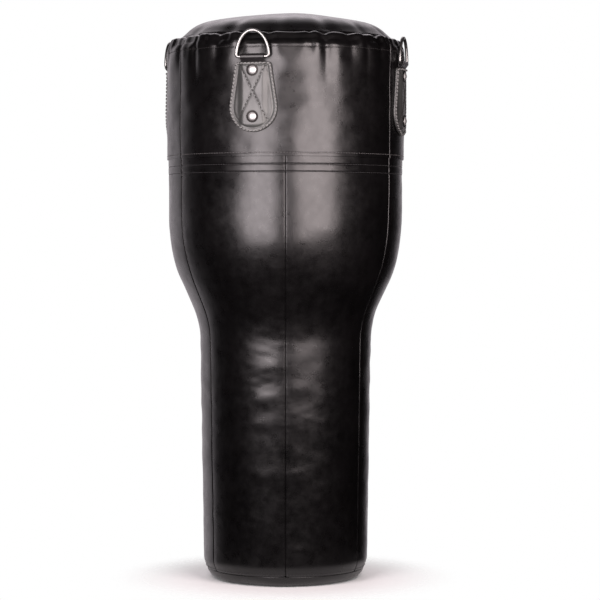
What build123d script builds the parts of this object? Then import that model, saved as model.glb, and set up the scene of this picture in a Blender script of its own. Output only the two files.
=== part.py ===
from build123d import *
from math import cos, radians, sin
import os

# Upper-cut heavy bag, standing on its base. Millimetres, +Z up, origin at the centre of the base.
# The bag is a wide sewn drum that narrows through a sloped neck to a slim lower barrel. Four steel dee
# rings hang in leather loops under riveted tabs around the top. Bearings are degrees about +Z, 0 at -Y
# and 90 at +X, so the front tab faces -Y.

# ---- driving dimensions ----
SKIN = 1.8                     # thickness of the sewn outer leather
PRESSED = 0.05                 # clearance between layers that a seam or rivet holds together
FIT = 0.2                      # clearance between other neighbouring layers
LOOSE_FIT = 0.3                # clearance round the ring's bar and beside the strap
UPPER_RADIUS = 223.0           # outside of the wide drum
GORE_RADIUS = UPPER_RADIUS - SKIN - FIT
BARREL_BASE_RADIUS = 155.2     # outside of the slim barrel, near the base
BARREL_NECK_RADIUS = 162.0     # and where the neck starts
NECK_Z = 482.6
SHOULDER_Z = 620.5
NECK_BEND = 160.0
SHOULDER_BEND = 320.0
LAP_BOTTOM_Z = 792.0           # lower edge of the upper panels
LAP_TOP_Z = 806.0              # hidden top edge of the lower panels, under the lap
PANEL_INNER = UPPER_RADIUS - SKIN

# ---- the rolled top hem, and the cover in its mouth ----
HEM_STITCH_Z = 990.0           # where the hem is sewn shut
HEM_BEND_Z = 1000.0            # where the drum wall starts to lean in over the tunnel
HEM_CREST_RADIUS = 216.4
HEM_TOP_Z = 1017.0
MOUTH_RADIUS = 201.5           # gathered opening inside the hem
HEM_TURN_RADIUS = 203.0        # lowest point of the mouth, where the hem turns back outward
HEM_TURN_Z = 1003.0
HEM_LEG_RADIUS = PANEL_INNER - 2 * PRESSED - SKIN
HEM_LEG = 7.0                  # height of the hem's turned-in edge below its stitching
TOTAL_HEIGHT = 1067.0
CROWN_RADIUS = 626.0           # the cover is a shallow dome with a tighter brow
CROWN_SWEEP = 13.6
BROW_RADIUS = 70.0
BROW_SWEEP = 22.0
COVER_CORNER = 6.0
COVER_TUCK_RADIUS = MOUTH_RADIUS - 0.5
COVER_TUCK_Z = 985.0

SEAM_BEARING = 15.0            # first vertical seam
LOWER_PANELS = 6
UPPER_PANELS = 3
SEAM_GAP = 0.1                 # degrees between neighbouring panels

# ---- base ----
BASE_SEAM_RADIUS = 149.2
BASE_SEAM_Z = 20.0
BARREL_FOOT_Z = 36.0           # where the barrel bends in to the base seam
BASE_SKIN = 2.4
BASE_CORNER_RADIUS = 143.0
BASE_BEND = 26.0
BASE_PAD_TOP_Z = 40.0

# ---- inside ----
FOAM_INSET = 4.0               # foam's distance in from the outside of the skin
FOAM = 15.0
PAD_INSET = 3.2                # and the top pad's, in from the outside of the cover
CANVAS = 1.2
SLEEVE_JOINTS_Z = (455.0, 690.0)
SLEEVE_JOINT_GAP = 0.5
SLEEVE_TOP_Z = 981.0
BELT = 2.3
BELT_BOTTOM_Z = 808.0
BELT_TOP_Z = 982.0
TAPE = 1.2                     # woven tape behind the lap, sewn through in three rows
TAPE_BOTTOM_Z = 759.0
TAPE_TOP_Z = 802.0
CORD_RADIUS = 3.0
CORD_PLAY = 1.7                # how far the cord hangs clear of the mouth, inside the hem
CORD_DROP = 3.7                # and below the hem's top

# ---- hangers ----
SIDES = {"front": 0.0, "right": 90.0, "back": 180.0, "left": 270.0}
WIRE_RADIUS = 3.0
RING_HALF_WIDTH = 30.6         # half an ellipse over a straight bar, to the wire's centre line
RING_HEIGHT = 47.5
RING_CORNER = 5.0
BAR_Z = 970.5
LOOP_BORE = WIRE_RADIUS + LOOSE_FIT
LOOP_LEATHER = 1.8
LOOP_HALF_WIDTH = 22.0
LOOP_RADIUS = LOOP_BORE + LOOP_LEATHER
BAR_RADIUS = UPPER_RADIUS + FIT + LOOP_RADIUS     # distance of the bar from the bag's axis
TAIL_BOTTOM_Z = 850.0
THROAT = 9.0                   # height over which the loop closes into its two tails
THROAT_LEAN = 20.0             # degrees below level where the throat leaves the round of the loop
TAB_LEATHER = 3.2
TAB_TOP_Z = 961.0
TAB_TOP_HALF_WIDTH = 33.5
TAB_ROUND_RADIUS = 45.0
TAB_ROUND_Z = 880.0
TAB_CORNER = 6.0
POCKET_HALF_WIDTH = LOOP_HALF_WIDTH + LOOSE_FIT
POCKET_BOTTOM_Z = TAIL_BOTTOM_Z - 0.5
RISE_HALF_WIDTH = POCKET_HALF_WIDTH + TAB_LEATHER
RISE_BOTTOM_Z = TAIL_BOTTOM_Z - 4.0
RIVET_Z = (946.5, 863.0)
SHANK_RADIUS = 2.5
HOLE_RADIUS = 2.6
WASHER_RADIUS = 11.0
WASHER = 0.8
CAP_RADIUS = 7.5
CAP_HEIGHT = 3.6
BURR_RADIUS = 8.0
BURR = 1.2
PEEN_RADIUS = 4.0
PEEN = 1.5

# ---- distances from the bag's axis, worked out from the layers ----
TAIL_BACK = UPPER_RADIUS + LOOSE_FIT              # flat back of the loop's two stacked tails
TAIL_FRONT = TAIL_BACK + 2 * LOOP_LEATHER + PRESSED
POCKET_REACH = TAIL_FRONT + 2 * PRESSED
TAB_FACE = POCKET_REACH + TAB_LEATHER             # flat raised face that the rivets bear on
WASHER_SEAT = TAB_FACE + PRESSED
CAP_SEAT = WASHER_SEAT + WASHER
TAPE_OUTER = GORE_RADIUS - SKIN - FIT
BELT_OUTER = PANEL_INNER - FIT
BELT_INNER = BELT_OUTER - BELT
BURR_FACE = BELT_INNER - FIT
SHANK_END = BURR_FACE - BURR - PEEN
FAR = 400.0                                       # well outside the bag, for cutting shapes


def half_profile(path, thickness):
    """Closed half section made of an open path in (radius, height) and its parallel on the left."""
    with BuildSketch(Plane.XZ) as sketch:
        with BuildLine():
            add(path)
            offset(amount=thickness, side=Side.LEFT, closed=True)
        make_face()
    return sketch.sketch


def turned(face, start=0.0, sweep=360.0):
    """Solid of revolution about +Z from one bearing, over a sweep in degrees."""
    solid = revolve(face, Axis.Z, revolution_arc=sweep)
    return Rot(0, 0, start - 90.0) * solid


def tube(outer, inner, low, high):
    """Plain ring about the bag's axis."""
    height = high - low
    at = Pos(0, 0, (low + high) / 2)
    return at * Cylinder(outer, height) - at * Cylinder(inner, height + 1)


def slab(low, high):
    """Everything between two heights."""
    return Pos(0, 0, (low + high) / 2) * Box(2 * FAR, 2 * FAR, high - low)


def front_block(half_width, reach, low, high):
    """Block from the bag's axis out to the front, between two heights."""
    return Pos(0, -reach / 2, (low + high) / 2) * Box(2 * half_width, reach, high - low)


def filled(section, inset):
    """Half section drawn in by an inset everywhere but on the bag's axis, and turned."""
    full = section + mirror(section, Plane.YZ)
    right_half = Plane.XZ * Pos(FAR, 0) * Rectangle(2 * FAR, 8 * FAR)
    return revolve(offset(full, -inset) & right_half, Axis.Z)


# ---- outlines, as paths in (radius, height), walked so that the inside is on the left ----
def lower_path():
    return FilletPolyline(
        (BASE_SEAM_RADIUS, BASE_SEAM_Z + 0.2),
        (BARREL_BASE_RADIUS, BARREL_FOOT_Z),
        (BARREL_NECK_RADIUS, NECK_Z),
        (GORE_RADIUS, SHOULDER_Z),
        (GORE_RADIUS, LAP_TOP_Z),
        radius=[25.0, NECK_BEND, SHOULDER_BEND],
    )


def upper_path():
    """Drum wall, then the hem: leaned in, rolled over the top, back to the wall and down beside it."""
    return FilletPolyline(
        (UPPER_RADIUS, LAP_BOTTOM_Z),
        (UPPER_RADIUS, HEM_BEND_Z),
        (HEM_CREST_RADIUS, HEM_TOP_Z),
        (MOUTH_RADIUS, HEM_TOP_Z),
        (HEM_TURN_RADIUS, HEM_TURN_Z),
        (HEM_LEG_RADIUS, HEM_STITCH_Z),
        (HEM_LEG_RADIUS, HEM_STITCH_Z - HEM_LEG),
        radius=[30.0, 8.0, 6.0, 4.0, 6.0],
    )


def cover_path():
    """Domed top cover, from its centre out over the brow and down to its tucked-in edge."""
    crown = JernArc((0, TOTAL_HEIGHT), (1, 0), radius=CROWN_RADIUS, arc_size=-CROWN_SWEEP)
    brow = JernArc(crown @ 1, crown % 1, radius=BROW_RADIUS, arc_size=-BROW_SWEEP)
    slope = brow % 1
    reach = (COVER_TUCK_RADIUS - (brow @ 1).X) / slope.X
    corner = brow @ 1 + slope * reach
    skirt = FilletPolyline(brow @ 1, corner, (COVER_TUCK_RADIUS, COVER_TUCK_Z), radius=COVER_CORNER)
    return Wire([*crown.edges(), *brow.edges(), *skirt.edges()])


def core(inset, low, high):
    """Solid filling of the inside, a given distance in from the skin, between two heights."""
    taper = (BARREL_NECK_RADIUS - BARREL_BASE_RADIUS) / (NECK_Z - BARREL_FOOT_Z)
    with BuildSketch(Plane.XZ) as sketch:
        with BuildLine():
            FilletPolyline(
                (0, -FAR),
                (BARREL_BASE_RADIUS - taper * (FAR + BARREL_FOOT_Z), -FAR),
                (BARREL_NECK_RADIUS, NECK_Z),
                (GORE_RADIUS, SHOULDER_Z),
                (GORE_RADIUS, 3 * FAR),
                (0, 3 * FAR),
                radius=[1.0, NECK_BEND, SHOULDER_BEND, 1.0],
            )
            Line((0, 3 * FAR), (0, -FAR))
        make_face()
    return filled(sketch.sketch, inset) & slab(low, high)


# ---- hardware cutters ----
def radial(radius, start, end, height, bearing=0.0):
    """Cylinder that points away from the bag's axis, between two distances from it."""
    at = Rot(0, 0, bearing) * Pos(0, -(start + end) / 2, height) * Rot(90, 0, 0)
    return at * Cylinder(radius, end - start)


def rivet_holes(bearings):
    """Holes from inside the belt out through the washers, two to a hanger."""
    start, end = SHANK_END - 5.0, CAP_SEAT + 5.0
    return [radial(HOLE_RADIUS, start, end, z, b) for b in bearings for z in RIVET_Z]


# ---- sewn shell ----
def lower_panels():
    face = half_profile(lower_path(), SKIN)
    step = 360.0 / LOWER_PANELS
    return {
        f"lower_panel_{i + 1}": turned(face, SEAM_BEARING + i * step + SEAM_GAP / 2, step - SEAM_GAP)
        for i in range(LOWER_PANELS)
    }


def upper_panels():
    face = half_profile(upper_path(), SKIN)
    step = 360.0 / UPPER_PANELS
    made = {}
    for i in range(UPPER_PANELS):
        start = SEAM_BEARING - 60.0 + i * step
        panel = turned(face, start + SEAM_GAP / 2, step - SEAM_GAP)
        crossed = [b for b in SIDES.values() if 0 < (b - start) % 360.0 < step]
        for hole in rivet_holes(crossed):
            panel -= hole
        made[f"upper_panel_{i + 1}"] = panel
    return made


def base_disc():
    """Dished leather disc sewn in at the bottom edge, flat where the bag stands on it."""
    path = FilletPolyline(
        (0, 0),
        (BASE_CORNER_RADIUS, 0),
        (BASE_SEAM_RADIUS, BASE_SEAM_Z),
        radius=BASE_BEND,
    )
    return turned(half_profile(path, BASE_SKIN))


def base_pad():
    """Foam disc that fills the dish of the base and the foot of the barrel."""
    floor = BASE_SKIN + FIT
    path = FilletPolyline(
        (0, floor),
        (BASE_CORNER_RADIUS - BASE_SKIN, floor),
        (BASE_SEAM_RADIUS - BASE_SKIN - 0.5, BASE_SEAM_Z),
        (BARREL_BASE_RADIUS - FOAM_INSET, BASE_PAD_TOP_Z),
        (0, BASE_PAD_TOP_Z),
        radius=[BASE_BEND - BASE_SKIN, 2.0, 2.0],
    )
    with BuildSketch(Plane.XZ) as sketch:
        with BuildLine():
            add(path)
            Line((0, BASE_PAD_TOP_Z), (0, floor))
        make_face()
    return turned(sketch.sketch)


def top_cover():
    with BuildSketch(Plane.XZ) as sketch:
        with BuildLine():
            add(cover_path())
            offset(amount=SKIN, side=Side.RIGHT, closed=True)
        make_face()
    return turned(sketch.sketch)


def top_pad():
    """Foam dome that holds the cover up, standing on the filling."""
    with BuildSketch(Plane.XZ) as sketch:
        with BuildLine():
            add(cover_path())
            Polyline((COVER_TUCK_RADIUS, COVER_TUCK_Z), (0, COVER_TUCK_Z), (0, TOTAL_HEIGHT))
        make_face()
    return filled(sketch.sketch, PAD_INSET)


def drawcord():
    """Closed loop of cord in the hem's tunnel, which gathers the mouth round the cover."""
    across = MOUTH_RADIUS + SKIN + CORD_RADIUS + CORD_PLAY
    centre = Pos(across, HEM_TOP_Z - SKIN - CORD_RADIUS - CORD_DROP)
    return turned(Plane.XZ * centre * Circle(CORD_RADIUS))


# ---- inside ----
def inside():
    low_joint, high_joint = SLEEVE_JOINTS_Z
    spans = {
        "foam_sleeve_lower": (BASE_PAD_TOP_Z + SLEEVE_JOINT_GAP, low_joint),
        "foam_sleeve_neck": (low_joint + SLEEVE_JOINT_GAP, high_joint),
        "foam_sleeve_upper": (high_joint + SLEEVE_JOINT_GAP, SLEEVE_TOP_Z),
    }
    bore = core(FOAM_INSET + FOAM, 0.0, TOTAL_HEIGHT)
    made = {name: core(FOAM_INSET, *span) - bore for name, span in spans.items()}
    for bearing in SIDES.values():
        for z in RIVET_Z:
            pocket = radial(BURR_RADIUS + LOOSE_FIT, SHANK_END - LOOSE_FIT, UPPER_RADIUS, z, bearing)
            made["foam_sleeve_upper"] -= pocket

    canvas_inset = FOAM_INSET + FOAM + FIT
    low, high = BASE_PAD_TOP_Z + SLEEVE_JOINT_GAP, SLEEVE_TOP_Z + 3.0
    sock = core(canvas_inset, low, high)
    made["canvas_liner"] = sock - core(canvas_inset + CANVAS, low + CANVAS, high - CANVAS)
    clear = CANVAS + FIT
    made["textile_fill"] = core(canvas_inset + clear, low + clear, high - clear)

    made["lap_tape"] = tube(TAPE_OUTER, TAPE_OUTER - TAPE, TAPE_BOTTOM_Z, TAPE_TOP_Z)
    belt = tube(BELT_OUTER, BELT_INNER, BELT_BOTTOM_Z, BELT_TOP_Z)
    for hole in rivet_holes(SIDES.values()):
        belt -= hole
    made["collar_belt"] = belt
    return made


# ---- one hanger, at the front; copies are turned round the bag ----
def dee_ring():
    with BuildSketch() as sketch:
        with BuildLine():
            EllipticalCenterArc((0, 0), RING_HALF_WIDTH, RING_HEIGHT, arc_size=180)
            Line((-RING_HALF_WIDTH, 0), (RING_HALF_WIDTH, 0))
        make_face()
        fillet(sketch.vertices(), RING_CORNER)
    path = sketch.face().outer_wire()
    section = Plane(origin=path @ 0, z_dir=path % 0) * Circle(WIRE_RADIUS)
    upright = Pos(0, -BAR_RADIUS, BAR_Z) * Rot(90, 0, 0)
    return upright * sweep(section, path=path)


def ring_loop():
    """Leather strap folded round the ring's bar, with both tails flat against the drum."""
    lean = radians(THROAT_LEAN)
    cheek = (-BAR_RADIUS - LOOP_RADIUS * cos(lean), BAR_Z - LOOP_RADIUS * sin(lean))
    with BuildSketch(Plane.YZ) as sketch:
        with Locations((-BAR_RADIUS, BAR_Z)):
            Circle(LOOP_RADIUS)
        with BuildLine():
            Polyline(
                (-TAIL_BACK, BAR_Z),
                (-TAIL_BACK, TAIL_BOTTOM_Z),
                (-TAIL_FRONT, TAIL_BOTTOM_Z),
                (-TAIL_FRONT, BAR_Z - THROAT),
                cheek,
                (-BAR_RADIUS, BAR_Z),
                close=True,
            )
        make_face()
        with Locations((-BAR_RADIUS, BAR_Z)):
            Circle(LOOP_BORE, mode=Mode.SUBTRACT)
    loop = extrude(sketch.sketch, LOOP_HALF_WIDTH, both=True)
    for hole in rivet_holes([0.0]):
        loop -= hole
    return loop


def tab_outline():
    """Teardrop outline of the tab, seen from outside: width across, height up."""
    with BuildSketch() as sketch:
        with BuildLine():
            CenterArc((0, TAB_ROUND_Z), TAB_ROUND_RADIUS, 0, 360)
            Line((-TAB_TOP_HALF_WIDTH, TAB_TOP_Z), (TAB_TOP_HALF_WIDTH, TAB_TOP_Z))
        make_hull()
        top = sketch.vertices().group_by(Axis.Y)[-1]
        fillet(top, TAB_CORNER)
    return sketch.sketch


def hanger_tab():
    """Leather tab: a rim that lies on the drum, raised flat over the loop's tails."""
    drum = UPPER_RADIUS + FIT
    outline = Pos(0, -FAR / 2, 0) * Rot(90, 0, 0) * extrude(tab_outline(), FAR / 2)
    rim = outline & tube(drum + TAB_LEATHER, drum, 0.0, TOTAL_HEIGHT)
    rise = outline & front_block(RISE_HALF_WIDTH, TAB_FACE, RISE_BOTTOM_Z, TAB_TOP_Z)
    rise -= Cylinder(drum, 2 * TOTAL_HEIGHT)
    tab = rim + rise
    tab -= front_block(POCKET_HALF_WIDTH, POCKET_REACH, POCKET_BOTTOM_Z, TOTAL_HEIGHT)
    for hole in rivet_holes([0.0]):
        tab -= hole
    return tab


def rivet(z):
    """Domed cap and shank, peened over the burr inside the bag."""
    sphere = (CAP_RADIUS**2 + CAP_HEIGHT**2) / (2 * CAP_HEIGHT)
    dome = Pos(0, -(CAP_SEAT + CAP_HEIGHT - sphere), z) * Sphere(sphere)
    cap = dome & radial(CAP_RADIUS + 1, CAP_SEAT, CAP_SEAT + CAP_HEIGHT + 1, z)
    shank = radial(SHANK_RADIUS, SHANK_END, CAP_SEAT + CAP_HEIGHT / 4, z)
    peen = radial(PEEN_RADIUS, SHANK_END, SHANK_END + PEEN, z)
    return cap + shank + peen


def pierced_disc(radius, start, end, z):
    """Disc on a rivet's shank, between two distances from the bag's axis."""
    return radial(radius, start, end, z) - radial(HOLE_RADIUS, start - 1, end + 1, z)


def washer(z):
    return pierced_disc(WASHER_RADIUS, WASHER_SEAT, WASHER_SEAT + WASHER, z)


def burr(z):
    return pierced_disc(BURR_RADIUS, BURR_FACE - BURR, BURR_FACE, z)


def hangers():
    pieces = {
        "dee_ring": dee_ring(),
        "ring_loop": ring_loop(),
        "hanger_tab": hanger_tab(),
        "rivets": Compound(children=[rivet(z) for z in RIVET_Z]),
        "rivet_washers": Compound(children=[washer(z) for z in RIVET_Z]),
        "rivet_burrs": Compound(children=[burr(z) for z in RIVET_Z]),
    }
    return {
        f"{side}_{name}": Rot(0, 0, bearing) * piece
        for side, bearing in SIDES.items()
        for name, piece in pieces.items()
    }


def main():
    parts = {
        **lower_panels(),
        **upper_panels(),
        "base_disc": base_disc(),
        "base_pad": base_pad(),
        "top_cover": top_cover(),
        "top_pad": top_pad(),
        "hem_drawcord": drawcord(),
        **inside(),
        **hangers(),
    }
    os.makedirs("parts", exist_ok=True)
    for name, shape in parts.items():
        export_step(shape, f"parts/{name}.step")


main()
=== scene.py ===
import bpy
import math
import numpy as np
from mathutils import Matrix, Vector


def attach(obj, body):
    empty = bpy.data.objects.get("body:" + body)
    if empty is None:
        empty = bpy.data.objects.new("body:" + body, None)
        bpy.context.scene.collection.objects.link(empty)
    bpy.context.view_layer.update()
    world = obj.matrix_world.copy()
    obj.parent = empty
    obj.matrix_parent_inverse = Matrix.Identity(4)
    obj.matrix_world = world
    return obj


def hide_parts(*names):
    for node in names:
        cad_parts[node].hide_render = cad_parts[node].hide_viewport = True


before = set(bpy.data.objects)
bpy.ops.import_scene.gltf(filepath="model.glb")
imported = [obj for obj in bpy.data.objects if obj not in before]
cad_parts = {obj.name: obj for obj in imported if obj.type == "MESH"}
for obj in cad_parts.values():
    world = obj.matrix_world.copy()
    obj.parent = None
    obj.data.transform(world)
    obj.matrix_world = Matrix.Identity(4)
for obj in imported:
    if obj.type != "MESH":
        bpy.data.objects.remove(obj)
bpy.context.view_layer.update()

MM = 0.001
BAG = "bag"                       # CAD body that carries everything but the four rings
SIDES = {"front": 0.0, "right": 90.0, "back": 180.0, "left": 270.0}

# ---- the frame's own sizes, in metres ----
UPPER_RADIUS = 223.0 * MM
GORE_RADIUS = 221.0 * MM
BARREL_BASE_RADIUS = 155.2 * MM
BARREL_NECK_RADIUS = 162.0 * MM
BASE_SEAM_RADIUS = 149.2 * MM
BASE_SEAM_Z = 20.0 * MM
NECK_Z = 482.6 * MM
SHOULDER_Z = 620.5 * MM
LAP_BOTTOM_Z = 792.0 * MM
LAP_TOP_Z = 806.0 * MM
HEM_STITCH_Z = 990.0 * MM
HEM_BEND_Z = 1000.0 * MM
HEM_CREST_RADIUS = 216.4 * MM
HEM_TOP_Z = 1017.0 * MM
HEM_TURN_RADIUS = 203.0 * MM
HEM_TURN_Z = 1003.0 * MM
MOUTH_RADIUS = 201.5 * MM
TOTAL_HEIGHT = 1067.0 * MM
CROWN_RADIUS = 626.0 * MM         # the cover is a shallow dome with a tighter brow
CROWN_SWEEP = 13.6
BROW_RADIUS = 70.0 * MM
BROW_SWEEP = 22.0
BASE_FLAT_RADIUS = 143.0 * MM
SKIN = 1.8 * MM
SEAM_BEARING = 15.0
LOWER_SEAMS = [SEAM_BEARING + 60.0 * i for i in range(6)]
UPPER_SEAMS = [SEAM_BEARING - 60.0 + 120.0 * i for i in range(3)]
TAPE_ROWS_Z = (764.0 * MM, 778.0 * MM)
LAP_ROW_Z = 798.5 * MM

BAR_RADIUS = 228.3 * MM
BAR_Z = 970.5 * MM
LOOP_HALF_WIDTH = 22.0 * MM
TAIL_BACK = 223.3 * MM
TAIL_FRONT = 226.95 * MM
TAIL_BOTTOM_Z = 850.0 * MM
TAB_LEATHER = 3.2 * MM
TAB_TOP_Z = 961.0 * MM
TAB_TOP_HALF_WIDTH = 33.5 * MM
TAB_ROUND_RADIUS = 45.0 * MM
TAB_ROUND_Z = 880.0 * MM
TAB_CORNER = 6.0 * MM

# ---- how far a skin may sink before it meets what is behind it ----
FOAM_GAP = 1.7 * MM
BELT_GAP = 1.75 * MM
HEM_GAP = 4.95 * MM


# ================= curves and fields =================
def bell(x, width):
    return np.exp(-((x / width) ** 2))


def smoothstep(x, low, high):
    t = np.clip((x - low) / (high - low), 0.0, 1.0)
    return t * t * (3.0 - 2.0 * t)


def rounded_line(corners, radii):
    """Points (radius, height) along straight runs whose inner corners are rounded."""
    corners = np.array(corners, float)
    points = [corners[0]]
    for before, corner, after, radius in zip(corners, corners[1:], corners[2:], radii):
        into = (corner - before) / np.linalg.norm(corner - before)
        out = (after - corner) / np.linalg.norm(after - corner)
        turn = math.acos(float(np.clip(into @ out, -1.0, 1.0)))
        side = np.sign(into[0] * out[1] - into[1] * out[0])
        start = corner - into * radius * math.tan(turn / 2)
        centre = start + side * radius * np.array([-into[1], into[0]])
        for angle in np.linspace(0.0, side * turn, 2 + int(turn / math.radians(1.0))):
            cos, sin = math.cos(angle), math.sin(angle)
            arm = start - centre
            points.append(centre + np.array([arm[0] * cos - arm[1] * sin, arm[0] * sin + arm[1] * cos]))
    points.append(corners[-1])
    return np.array(points)


def smooth_line(points, step):
    """Catmull-Rom curve through the points, sampled about every step."""
    p = np.array(points, float)
    p = np.vstack([2 * p[0] - p[1], p, 2 * p[-1] - p[-2]])
    made = []
    for a, b, c, d in zip(p, p[1:], p[2:], p[3:]):
        count = max(2, int(np.linalg.norm(c - b) / step))
        for t in np.arange(count) / count:
            bend = (2 * a - 5 * b + 4 * c - d) * t**2
            twist = (3 * b - a - 3 * c + d) * t**3
            made.append(0.5 * (2 * b + (c - a) * t + bend + twist))
    made.append(p[-2])
    return np.array(made)


def graded(start, end, coarse, fine, marks, reach):
    """Values from start to end, closer together near the marks."""
    values = [start]
    while values[-1] < end:
        near = min(abs(values[-1] - mark) for mark in marks)
        values.append(values[-1] + fine + (coarse - fine) * min(1.0, near / reach))
    if end - values[-2] < fine / 2:
        values.pop(-2)
    values[-1] = end
    return np.array(values)


class Profile:
    """Half section walked from one end, with its length and its outward normal."""

    def __init__(self, points):
        steps = np.linalg.norm(np.diff(points, axis=0), axis=1)
        keep = np.concatenate([[True], steps > 1e-7])
        points = points[keep]
        steps = np.linalg.norm(np.diff(points, axis=0), axis=1)
        self.length_at = np.concatenate([[0.0], np.cumsum(steps)])
        self.points = points
        self.length = self.length_at[-1]

    def at(self, s):
        return np.stack([np.interp(s, self.length_at, self.points[:, i]) for i in (0, 1)], axis=-1)

    def normal(self, s):
        ahead, behind = self.at(s + 0.6 * MM), self.at(s - 0.6 * MM)
        way = ahead - behind
        way /= np.linalg.norm(way, axis=-1, keepdims=True)
        return np.stack([way[..., 1], -way[..., 0]], axis=-1)

    def length_to(self, height):
        """Length along the profile to a height, on its first climb."""
        index = int(np.argmax(self.points[:, 1] >= height))
        low, high = self.points[index - 1, 1], self.points[index, 1]
        part = (height - low) / (high - low)
        return self.length_at[index - 1] + part * (self.length_at[index] - self.length_at[index - 1])


def turned(profile, bearings, s, lift):
    """Grid of points: the profile turned to each bearing, moved out along its normal by lift."""
    place, normal = profile.at(s), profile.normal(s)
    radius = place[None, :, 0] + lift * normal[None, :, 0]
    height = place[None, :, 1] + lift * normal[None, :, 1]
    angle = np.radians(bearings)[:, None]
    return np.stack([radius * np.sin(angle), -radius * np.cos(angle), height + 0 * angle], axis=-1)


def ripple(bearing, height, seed, around, up, count=40):
    """Smooth random field round the bag, of mean 0 and variance 1."""
    rng = np.random.default_rng(seed)
    total = 0.0
    for _ in range(count):
        turns = rng.integers(around[0], around[1] + 1)
        wave = rng.uniform(up[0], up[1]) * rng.choice([-1, 1])
        total = total + np.cos(turns * np.radians(bearing) + wave * height + rng.uniform(0, 2 * math.pi))
    return total / math.sqrt(count / 2)


def degrees_past(bearing, other):
    """Signed degrees from another bearing, the short way round."""
    return (bearing - other + 180.0) % 360.0 - 180.0


def away_from(bearing, seams):
    """Degrees to the nearest of the seams."""
    return np.min([np.abs(degrees_past(bearing, seam)) for seam in seams], axis=0)


# ================= meshes =================
def make_mesh(name, points, faces, material, smooth=True):
    mesh = bpy.data.meshes.new(name)
    mesh.from_pydata([tuple(p) for p in points], [], faces)
    mesh.validate()
    mesh.polygons.foreach_set("use_smooth", [smooth] * len(mesh.polygons))
    mesh.materials.append(material)
    obj = bpy.data.objects.new(name, mesh)
    bpy.context.scene.collection.objects.link(obj)
    return obj


def grid_faces(rows, columns, wrap_rows=False, wrap_columns=False):
    faces = []
    for i in range(rows if wrap_rows else rows - 1):
        for j in range(columns if wrap_columns else columns - 1):
            a, b = i * columns + j, ((i + 1) % rows) * columns + j
            c, d = ((i + 1) % rows) * columns + (j + 1) % columns, i * columns + (j + 1) % columns
            faces.append((a, b, c, d))
    return faces


def thicken(obj, thickness):
    """Gives a one-sided skin its leather, inward from the modelled face."""
    shell = obj.modifiers.new("leather", "SOLIDIFY")
    shell.thickness = thickness
    shell.offset = -1.0
    shell.use_rim = True
    shell.use_even_offset = False


def tube_points(line, radii, sides):
    """Rings of points round a line, one ring per line point."""
    line = np.array(line, float)
    way = np.gradient(line, axis=0)
    way /= np.linalg.norm(way, axis=1, keepdims=True)
    hint = np.array([0.0, 0.0, 1.0]) if abs(way[0] @ [0, 0, 1]) < 0.9 else np.array([1.0, 0.0, 0.0])
    rings = []
    for point, direction, radius in zip(line, way, radii):
        across = np.cross(direction, hint)
        across /= np.linalg.norm(across)
        hint = np.cross(across, direction)
        for k in range(sides):
            turn = 2 * math.pi * k / sides
            rings.append(point + radius * (math.cos(turn) * across + math.sin(turn) * hint))
    return rings


def threads(name, lines, radius, material, sides=8):
    """One mesh of short rounded stitches, each along its own line of points."""
    points, faces = [], []
    for line in lines:
        count = len(line)
        along = np.linspace(-1.0, 1.0, count)
        radii = radius * np.clip(np.sqrt(1.0 - 0.97 * along**8), 0.15, 1.0)
        start = len(points)
        points.extend(tube_points(line, radii, sides))
        for i in range(count - 1):
            for k in range(sides):
                a, b = start + i * sides + k, start + i * sides + (k + 1) % sides
                faces.append((a, b, b + sides, a + sides))
        faces.append(tuple(start + k for k in reversed(range(sides))))
        faces.append(tuple(start + (count - 1) * sides + k for k in range(sides)))
    return make_mesh(name, points, faces, material)


# ================= materials =================
def new_material(name):
    material = bpy.data.materials.new(name)
    material.use_nodes = True
    nodes = material.node_tree.nodes
    return material, nodes, material.node_tree.links, nodes["Principled BSDF"]


def ramp(nodes, links, source, stops):
    """Colour ramp from (position, value) or (position, colour) stops."""
    node = nodes.new("ShaderNodeValToRGB")
    elements = node.color_ramp.elements
    while len(elements) < len(stops):
        elements.new(0.5)
    for element, (position, colour) in zip(elements, stops):
        if isinstance(colour, float):
            colour = (colour, colour, colour)
        element.position = position
        element.color = (*colour, 1.0)
    links.new(source, node.inputs["Fac"])
    return node.outputs["Color"]


def noise(nodes, links, where, scale, detail=3.0, rough=0.5):
    node = nodes.new("ShaderNodeTexNoise")
    node.inputs["Scale"].default_value = scale
    node.inputs["Detail"].default_value = detail
    node.inputs["Roughness"].default_value = rough
    links.new(where, node.inputs["Vector"])
    return node.outputs["Fac"]


def cells(nodes, links, where, scale, feature="SMOOTH_F1"):
    node = nodes.new("ShaderNodeTexVoronoi")
    node.feature = feature
    node.inputs["Scale"].default_value = scale
    links.new(where, node.inputs["Vector"])
    return node.outputs["Distance"]


def bump(nodes, links, height, depth, strength=1.0, below=None):
    node = nodes.new("ShaderNodeBump")
    node.inputs["Strength"].default_value = strength
    node.inputs["Distance"].default_value = depth
    links.new(height, node.inputs["Height"])
    if below is not None:
        links.new(below, node.inputs["Normal"])
    return node.outputs["Normal"]


def place(nodes):
    return nodes.new("ShaderNodeTexCoord").outputs["Object"]


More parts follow.
